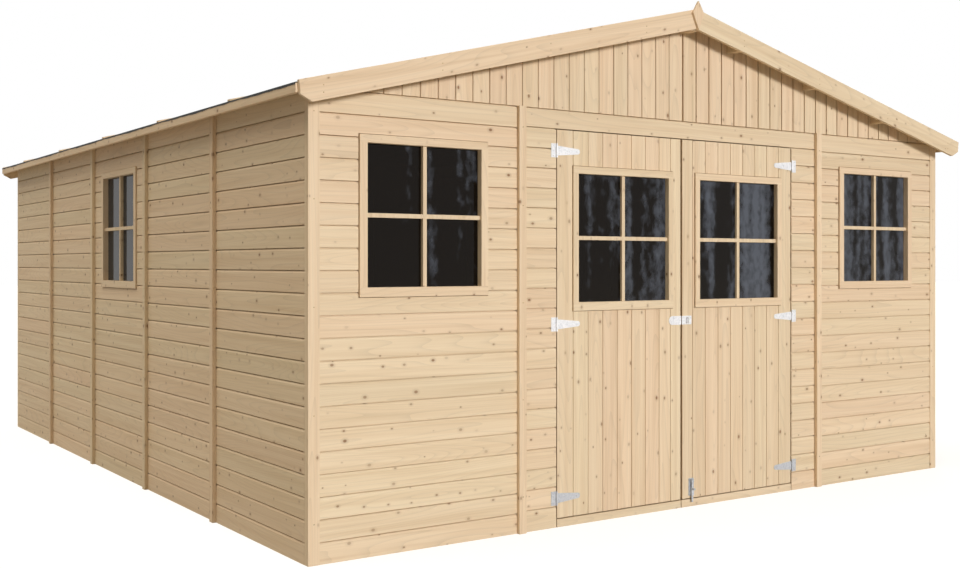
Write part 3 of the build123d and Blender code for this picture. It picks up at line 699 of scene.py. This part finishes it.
def doorLeaves():
    for side, seed in (("left", 71), ("right", 79)):
        low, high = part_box(side + "_door_boards")
        windowLow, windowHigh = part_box(side + "_door_window")
        start, width, height = low[0], high[0] - low[0], high[2] - low[2]
        if side == "left":
            covers = leafRows(width, leafSize["closing"])
        else:
            start, width = start + leafSize["meeting"], width - leafSize["meeting"]
            covers = leafRows(width, 0)[::-1]
        rows, x = [], 0.0
        for cover in covers:
            rows.append((0.0, x, height, cover))
            x += cover
        joint = wallSize["windowJoint"]
        cutter = cutterMesh([((windowLow[0] - joint, low[1] - 0.02, windowLow[2] - joint),
                              (windowHigh[0] + joint, high[1] + 0.02, windowHigh[2] + joint))])
        piece = boarded(side + "DoorBoards", rows, (0, 0, -1), (1, 0, 0), (start, low[1], high[2]), leafSize["pitch"],
                        width, planed["Z"], seed, "leaf", cutter)
        fastened(piece, side + "_door", "planed_softwood", side + "_door_boards")


doorLeaves()


# Roof and floor boards

deckSize = {"roofPitch": 0.095, "floorPitch": 0.112}


def decks():
    angle = math.atan(timberLook["slope"])
    for side, sign in (("left", -1), ("right", 1)):
        node = side + "_roof_boards"
        low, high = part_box(node)
        eave, ridge = (low[0], high[0]) if sign < 0 else (high[0], low[0])
        width = (abs(eave) - abs(ridge)) / math.cos(angle)
        rows = courses([(low[1], high[1])], deckSize["roofPitch"], deckSize["roofPitch"], width)
        run, stack = (0, -sign, 0), (-sign * math.cos(angle), 0, math.sin(angle))
        piece = boarded(side + "RoofBoards", rows, run, stack, (eave, 0, low[2]), deckSize["roofPitch"], width,
                        sawn["Y"], 90 + sign, "inside")
        fastened(piece, "shed", "sawn_softwood", node)
    low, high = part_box("floor_boards")
    rows = courses([(low[0], high[0])], deckSize["floorPitch"], deckSize["floorPitch"], high[1] - low[1])
    piece = boarded("floorDeck", rows, (1, 0, 0), (0, 1, 0), (0, low[1], high[2]), deckSize["floorPitch"],
                    high[1] - low[1], sawn["X"], 97, "inside", thickness=high[2] - low[2])
    fastened(piece, "shed", "sawn_softwood", "floor_boards")


decks()


# Window bars: one upright and one level bar in every window, outside the glass and again inside it

frameSize = {"sill": 0.039, "head": 0.033, "stile": 0.069}
barSize = {"width": 0.018, "face": 0.012, "ease": 0.0015, "half": 0.2722, "tone": 0.09, "wallGlass": 0.030,
           "innerFrom": 0.0044, "innerTo": 0.0135, "shoulder": 0.0004}


def barBox(shape, low, high):
    edges = list(dict.fromkeys(edge for vertex in addCube(shape, low, high) for edge in vertex.link_edges))
    bmesh.ops.bevel(shape, geom=edges, offset=barSize["ease"], segments=2, profile=0.7, affect="EDGES")


def windowBars(name, body, frameNode, depth, faces):
    shape = bmesh.new()
    low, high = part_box(frameNode)
    clearLow, clearHigh = low[2] + frameSize["sill"], high[2] - frameSize["head"]
    middle, half = (clearLow + clearHigh) / 2, (clearHigh - clearLow) / 2
    width, shoulder = barSize["width"] / 2, barSize["shoulder"]
    for place, turned in faces:
        before = set(shape.verts)
        for near, far in ((barSize["face"], depth), (depth + barSize["innerFrom"], depth + barSize["innerTo"])):
            barBox(shape, (-width, near, -half), (width, far, half))
            for start, stop in ((-barSize["half"], -width), (width, barSize["half"])):
                barBox(shape, (start, near + shoulder, -width), (stop, far - shoulder, width))
        fresh = [vertex for vertex in shape.verts if vertex not in before]
        moved = Matrix.Translation((place[0], place[1], middle)) @ Matrix.Rotation(turned, 4, "Z")
        bmesh.ops.transform(shape, matrix=moved, verts=fresh)
    layer = shape.faces.layers.float.new("tone")
    for face in shape.faces:
        face[layer] = barSize["tone"]
    fastened(endMesh(name, shape, planed["Z"]), body, "planed_softwood")


sideFace, frontFace = frameHigh[0], -frameLow[1]
windowBars("wallWindowBars", "shed", "wall_window_frames", barSize["wallGlass"],
           [((sign * wallSize["windowX"], -frontFace), 0.0) for sign in (-1, 1)]
           + [((sign * sideFace, 0.0), sign * math.pi / 2) for sign in (-1, 1)])
for side in ("left", "right"):
    low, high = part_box(side + "_door_window")
    depth = abs(low[1]) - abs(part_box(side + "_door_pane")[0][1])
    windowBars(side + "DoorBars", side + "_door", side + "_door_window", depth,
               [(((low[0] + high[0]) / 2, low[1]), 0.0)])


# Timber for the frames: upright in the sides, level in the sills, heads and rails

def frameTimbers():
    made = {}
    for name, node in (("wallWindow", "wall_window_frames"), ("doorWindow", "left_door_window")):
        low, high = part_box(node)
        sides = (2, low[2] + frameSize["sill"], high[2] - frameSize["head"], True)
        made[name] = timber(name + "Softwood", "planed", "Z", sides)
    for side in ("left", "right"):
        low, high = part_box(side + "_door_frame")
        stiles = (0, low[0] + frameSize["stile"], high[0] - frameSize["stile"], False)
        made[side + "Leaf"] = timber(side + "LeafSoftwood", "sawn", "Z", stiles)
    return made


frameTimber = frameTimbers()


# Trims and frames with eased edges, made from the solids of the frame

easedSize = {"trim": 0.0015, "frame": 0.0015, "metal": 0.0004}
easedPieces = [
    ("wall_battens", "shed", "wallBattens", planed["Z"], "trim", "planed_softwood"),
    ("corner_trims", "shed", "cornerTrims", planed["Z"], "trim", "planed_softwood"),
    ("bargeboards", "shed", "bargeboardPair", planed["slope"], "trim", "planed_softwood"),
    ("eave_fascias", "shed", "eaveFascias", planed["Y"], "trim", "planed_softwood"),
    ("gable_finials", "shed", "gableFinials", planed["Z"], "trim", "planed_softwood"),
    ("felt_laths", "shed", "feltLaths", sawn["slope"], "trim", "sawn_softwood"),
    ("wall_window_frames", "shed", "wallWindowFrames", frameTimber["wallWindow"], "frame", "planed_softwood"),
    ("left_door_window", "left_door", "leftDoorWindow", frameTimber["doorWindow"], "frame", "planed_softwood"),
    ("right_door_window", "right_door", "rightDoorWindow", frameTimber["doorWindow"], "frame", "planed_softwood"),
    ("hasp", "left_door", "haspPlate", zinc, "metal", "galvanised_steel"),
    ("hasp_staple", "right_door", "haspStaple", zinc, "metal", "galvanised_steel"),
]


def easedCopy(node, body, name, material, ease, slotName):
    shape = bmesh.new()
    shape.from_mesh(nodes[node].data)
    bmesh.ops.remove_doubles(shape, verts=shape.verts, dist=0.00002)
    bmesh.ops.dissolve_limit(shape, angle_limit=math.radians(1), verts=shape.verts, edges=shape.edges)
    piece = meshPiece(name, toned(shape, easedSize[ease]), material)
    fastened(piece, body, slotName, node)


for row in easedPieces:
    easedCopy(*row)


# Threshold in two lengths that meet under the closing edges

thresholdSize = {"meeting": -0.0105, "gap": 0.005, "end": 0.004, "ease": 0.002}


def threshold():
    low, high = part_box("door_threshold")
    shape = bmesh.new()
    middle, gap = thresholdSize["meeting"], thresholdSize["gap"] / 2
    ends = (low[0] + thresholdSize["end"], high[0] - thresholdSize["end"])
    outline = [(low[1], low[2]), (high[1], low[2]), (high[1], high[2]), (low[1], high[2])]
    for start, stop in ((ends[0], middle - gap), (middle + gap, ends[1])):
        addIsland(shape, [[(x, y, z) for y, z in outline] for x in (start, stop)])
    piece = meshPiece("doorThreshold", toned(shape, thresholdSize["ease"]), planed["X"])
    fastened(piece, "shed", "planed_softwood", "door_threshold")


threshold()


# Finishes of the pieces that stay as the frame has them

finishes = {
    "front_wall_frame": sawn["Z"], "back_wall_frame": sawn["Z"], "left_wall_frame": sawn["Z"],
    "right_wall_frame": sawn["Z"], "floor_bearers": sawn["Y"],
    "left_roof_felt": felt, "right_roof_felt": felt, "left_door_frame": frameTimber["leftLeaf"],
    "right_door_frame": frameTimber["rightLeaf"],
    "wall_window_panes": glass, "left_door_pane": glass, "right_door_pane": glass,
    "hinge_plates": zinc, "left_door_straps": zinc, "right_door_straps": zinc,
    "bolt_barrel": darkZinc, "bolt_rod": darkZinc,
}
for name, material in finishes.items():
    mesh = nodes[name].data
    mesh.materials.clear()
    mesh.materials.append(material)
print("shed: finishes on", len(finishes), "frame pieces")


# Felt: the upper sheet laps over the lower one, and a strip covers the ridge

feltSize = {"high": 0.01988, "sheet": 0.0014, "lapAt": 1.02, "ridge": 0.16, "bedded": 0.0004, "inset": 0.001}


def feltLaps():
    low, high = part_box("left_roof_felt")
    ends = (low[1] + feltSize["inset"], high[1] - feltSize["inset"])
    shape = bmesh.new()
    for sign in (-1, 1):
        for far, lift in ((feltSize["lapAt"], 0.0), (feltSize["ridge"], feltSize["sheet"])):
            foot, top = lift - feltSize["bedded"], lift + feltSize["sheet"]
            outline = [(x, roofUnderside(x) + feltSize["high"] + z)
                       for x, z in ((0.0, foot), (far, foot), (far, top), (0.0, top))]
            addIsland(shape, [[(sign * x, y, z) for x, z in outline] for y in ends])
    fastened(meshPiece("feltLaps", shape, felt), "shed", "roofing_felt")


feltLaps()


# The felt is turned down over the fascias, with an uneven cut edge

feltEdgeSize = {"steps": 200, "drop": 0.007, "uneven": 0.0035, "sheet": 0.0015, "below": 0.0005, "within": 0.0003}


def feltEdges():
    low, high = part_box("left_roof_felt")
    reach = -low[0]
    top = roofUnderside(reach) + feltSize["high"] - feltEdgeSize["below"]
    outer = reach - feltEdgeSize["within"]
    inner = reach - feltEdgeSize["sheet"] - feltEdgeSize["within"]
    shape = bmesh.new()
    for sign in (-1, 1):
        sections = []
        for i in range(feltEdgeSize["steps"] + 1):
            y = low[1] + feltSize["inset"] + (high[1] - low[1] - 2 * feltSize["inset"]) * i / feltEdgeSize["steps"]
            wave = math.sin(y * 7.3 + sign) * 0.5 + math.sin(y * 19.7 + 2 * sign) * 0.3 + math.sin(y * 53.0) * 0.2
            foot = top - feltEdgeSize["drop"] - feltEdgeSize["uneven"] * wave
            corners = ((inner, top), (outer, top), (outer, foot), (inner, foot))
            sections.append([(sign * x, y, z) for x, z in corners])
        addIsland(shape, sections)
    fastened(meshPiece("feltEdges", shape, felt), "shed", "roofing_felt")


feltEdges()


# Screws and nails, set on points that carry the way they face

screwSize = {"radius": 0.0036, "height": 0.0016, "arm": 0.0021, "slot": 0.0007, "recess": 0.0012}
nailSize = {"radius": 0.0050, "height": 0.0010}
headSteps = ((1.0, 0.45), (0.82, 0.85), (0.6, 1.0))


def headMesh(name, size):
    # A domed head, with a cross recess where the size gives one
    radius, height = size["radius"], size["height"]
    turns = [math.tau * (i + 0.5) / 12 for i in range(12)]
    outlines = [[(radius * share * math.cos(turn), radius * share * math.sin(turn), level) for turn in turns]
                for share, level in [(1.0, -0.0006)] + [(share, height * rise) for share, rise in headSteps]]
    if "recess" in size:
        arm, slot = size["arm"], size["slot"]
        cross = [(arm, slot), (slot, slot), (slot, arm), (-slot, arm), (-slot, slot), (-arm, slot),
                 (-arm, -slot), (-slot, -slot), (-slot, -arm), (slot, -arm), (slot, -slot), (arm, -slot)]
        outlines += [[(x, y, level) for x, y in cross] for level in (height, height - size["recess"])]
    shape = bmesh.new()
    addIsland(shape, outlines)
    return meshPiece(name, shape)


def fixingTree():
    tree, given, result = newTree("setFixings", [
        ("head", "Object", None), ("scale", "Float", 1.0), ("seed", "Int", 1), ("steel", "Material", None)])
    head = wired(tree, "GeometryNodeObjectInfo", {"Object": given["head"]})["Geometry"]
    facing = namedValue(tree, "facing", "FLOAT_VECTOR")
    lean = wired(tree, "FunctionNodeAlignRotationToVector", {"Vector": facing}, axis="Z")[0]
    turn = wired(tree, "FunctionNodeRandomValue", {"Seed": given["seed"], 3: math.tau}, data_type="FLOAT")[1]
    spin = wired(tree, "FunctionNodeAxisAngleToRotation", {"Angle": turn})[0]
    spun = wired(tree, "FunctionNodeRotateRotation", {0: lean, 1: spin}, rotation_space="LOCAL")[0]
    laid = wired(tree, "GeometryNodeInstanceOnPoints", {
        "Points": given["Geometry"], "Instance": head, "Rotation": spun, "Scale": given["scale"]})[0]
    return endTree(tree, laid, given["steel"], result)


setFixings = fixingTree()


def fixings(name, head, rows, body, steel, seed, scale=1.0):
    points = pointMesh(name, [place for place, facing in rows], facing=[facing for place, facing in rows])
    settle(points, setFixings, {"head": head, "scale": scale, "seed": seed, "steel": steel})
    fastened(points, body, "galvanised_steel")


screw, nail = headMesh("screwHead", screwSize), headMesh("nailHead", nailSize)


# Screws of the hinges, the hasp, its staple and the bolt

hardwareSize = {
    "steelFace": -2.3828, "haspFace": -2.3833, "boltFace": -2.3823, "leafScale": 0.85, "middleHinge": 0.9,
    "plateEnd": 0.031, "plateEdge": 0.0125, "plate": (-0.022, 0.0, 0.022), "pin": 0.0295,
    "strap": ((0.018, 0.011), (0.018, -0.011), (0.062, 0.0), (0.112, 0.0)),
    "hasp": ((0.012, 0.0), (0.030, 0.012), (0.030, -0.012)), "staple": (0.008, 0.013), "bolt": (0.0042, 0.008),
}


def hardwareScrews():
    size, front = hardwareSize, (0, -1, 0)
    plateLow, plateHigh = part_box("hinge_plates")
    heights = (plateLow[2] + size["plateEnd"], size["middleHinge"], plateHigh[2] - size["plateEnd"])
    rows = [((sign * (plateHigh[0] - size["plateEdge"]), size["steelFace"], z + up), front)
            for sign in (-1, 1) for z in heights for up in size["plate"]]
    fixings("hingePlateScrews", screw, rows, "shed", zinc, 3)
    axis = plateHigh[0] - size["pin"]
    for side, sign in (("left", -1), ("right", 1)):
        rows = [((sign * (axis - reach), size["steelFace"], z + up), front)
                for z in heights for reach, up in size["strap"]]
        low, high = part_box("hasp" if side == "left" else "hasp_staple")
        middle = (low[2] + high[2]) / 2
        if side == "left":
            rows += [((low[0] + reach, size["haspFace"], middle + up), front) for reach, up in size["hasp"]]
        else:
            edge, up = size["staple"]
            rows += [((x, size["haspFace"], z), front)
                     for x in (low[0] + edge, high[0] - edge) for z in (middle - up, middle + up)]
            low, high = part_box("bolt_barrel")
            edge, up = size["bolt"]
            rows += [((x, size["boltFace"], z), front)
                     for x in (low[0] + edge, high[0] - edge) for z in (low[2] + up, high[2] - up)]
        fixings(side + "DoorScrews", screw, rows, side + "_door", zinc, 5, size["leafScale"])


hardwareScrews()


# Screws of the battens, corner trims and bargeboards

trimSize = {"heights": (0.16, 0.58, 1.0, 1.42, 1.76), "frontBatten": 0.958, "cornerEdge": 0.025, "scale": 0.7,
            "eaveX": 1.95, "bargeboard": (-0.040, -0.012)}


def trimScrews():
    rows = []
    battenLow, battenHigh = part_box("wall_battens")
    trimHigh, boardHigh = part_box("corner_trims")[1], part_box("bargeboards")[1]
    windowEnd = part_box("left_window_panel")[1][1]
    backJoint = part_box("back_wall_panels")[1][0] / 2
    cornerX = trimHigh[0] - trimSize["cornerEdge"]
    for z in trimSize["heights"]:
        for sign in (-1, 1):
            rows.append(((sign * trimSize["frontBatten"], battenLow[1], z), (0, -1, 0)))
            rows += [((sign * battenHigh[0], share * windowEnd, z), (sign, 0, 0)) for share in (-3, -1, 1, 3)]
            rows += [((sign * cornerX, end * trimHigh[1], z), (0, end, 0)) for end in (-1, 1)]
        rows += [((x, battenHigh[1], z), (0, 1, 0)) for x in (-backJoint, 0.0, backJoint)]
    for x in purlinSize["places"] + (trimSize["eaveX"],):
        for sign in (-1, 1):
            rows += [((sign * x, end * boardHigh[1], roofUnderside(x) + up), (0, end, 0))
                     for end in (-1, 1) for up in trimSize["bargeboard"]]
    fixings("trimScrews", screw, rows, "shed", yellowZinc, 7, trimSize["scale"])


trimScrews()


# Clout nails in the laths and round the edges of the felt

cloutSize = {"lathPitch": 0.902, "lathTop": 0.00855, "lath": (0.08, 0.4, 0.72, 1.04, 1.36, 1.68, 2.0),
             "edge": 0.018, "eaveX": 2.035, "lower": (1.12, 1.27, 1.42, 1.57, 1.72, 1.87),
             "upper": (0.22, 0.37, 0.52, 0.67, 0.82, 0.97)}


def cloutNails():
    size, top, lean = cloutSize, feltSize["high"], math.atan(timberLook["slope"])
    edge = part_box("left_roof_felt")[1][1] - size["edge"]
    spots = [(x, lath * size["lathPitch"], top + size["lathTop"]) for lath in range(-2, 3) for x in size["lath"]]
    spots += [(size["eaveX"], -edge + i * edge / 16, top) for i in range(33)]
    for end in (-edge, edge):
        spots += [(x, end, top) for x in size["lower"]] + [(x, end, top + feltSize["sheet"]) for x in size["upper"]]
    rows = [((sign * x, y, roofUnderside(x) + high), (sign * math.sin(lean), 0, math.cos(lean)))
            for sign in (-1, 1) for x, y, high in spots]
    fixings("cloutNails", nail, rows, "shed", zinc, 11)


cloutNails()
for head in (screw, nail):
    bpy.data.objects.remove(head)


# Floor, light and camera

stageLook = {"ambient": 0.19, "ambientTone": (1.0, 0.93, 0.80, 1), "floorTone": (0.38, 0.365, 0.335, 1),
             "floorLift": 0.78, "floorReach": 60.0, "white": (1, 1, 1, 1)}
lampLook = {
    "keyLight": {"strength": 2.24, "from": (0.10, -0.97, 0.15), "size": 12.0, "colour": (0.985, 0.975, 1.0)},
    "skyLight": {"strength": 1.9, "from": (-0.45, 0.05, 1.0), "size": 50.0, "colour": (1.0, 0.935, 0.83)},
    "backLight": {"strength": 1.3, "from": (0.70, 0.70, 0.30), "size": 40.0, "colour": (1.0, 0.98, 0.95)},
}


def seenDirectly(tree):
    # The camera, mirrors and clear glass see a white stage, and everything else is lit by a dimmer one
    rays = wired(tree, "ShaderNodeLightPath")
    seen = maths(tree, "MAXIMUM", rays["Is Camera Ray"], rays["Is Glossy Ray"])
    return maths(tree, "MAXIMUM", seen, rays["Is Transmission Ray"])


def studio():
    world = bpy.data.worlds.new("whiteStudio")
    scene.world = world
    world.use_nodes = True
    tree = world.node_tree
    back, seen, dim = tree.nodes["Background"].inputs, seenDirectly(tree), stageLook["ambient"]
    tree.links.new(mixed(tree, seen, stageLook["ambientTone"], stageLook["white"]), back["Color"])
    tree.links.new(maths(tree, "MULTIPLY_ADD", seen, 1.0 - dim, dim), back["Strength"])

    material, tree = newMaterial("whiteFloor")
    lift = maths(tree, "MULTIPLY", seenDirectly(tree), stageLook["floorLift"])
    surface(tree, {"Emission Strength": lift, "Base Color": stageLook["floorTone"], "Roughness": 0.9,
                   "Specular IOR Level": 0.0, "Emission Color": stageLook["white"]})
    mesh = bpy.data.meshes.new("studioFloor")
    reach = stageLook["floorReach"]
    corners = [(-reach, -reach, 0), (reach, -reach, 0), (reach, reach, 0), (-reach, reach, 0)]
    mesh.from_pydata(corners, [], [(0, 1, 2, 3)])
    mesh.materials.append(material)
    floor = addPiece("studioFloor", mesh)

    for name, given in lampLook.items():
        lamp = bpy.data.lights.new(name, "SUN")
        lamp.energy = given["strength"]
        lamp.angle = math.radians(given["size"])
        lamp.color = given["colour"]
        lit = bpy.data.objects.new(name, lamp)
        lit.rotation_euler = Vector(given["from"]).to_track_quat("Z", "Y").to_euler()
        scene.collection.objects.link(lit)
    scene.view_settings.view_transform = "Standard"


cameraSize = {"place": (-3.96450, -6.54180, 1.16940), "yaw": 34.32777, "pixelsPerLens": 1183.618,
              "centre": (489.34, 263.53), "picture": (960, 569)}


def photoCamera():
    wide, high = cameraSize["picture"]
    lens = bpy.data.cameras.new("photoCamera")
    lens.lens = 36.0 * cameraSize["pixelsPerLens"] / wide
    lens.shift_x = (wide / 2 - cameraSize["centre"][0]) / wide
    lens.shift_y = (cameraSize["centre"][1] - high / 2) / wide
    camera = bpy.data.objects.new("photoCamera", lens)
    camera.location = cameraSize["place"]
    camera.rotation_euler = (math.radians(90), 0, -math.radians(cameraSize["yaw"]))
    scene.collection.objects.link(camera)
    scene.camera = camera


studio()
photoCamera()

print("shed: done")
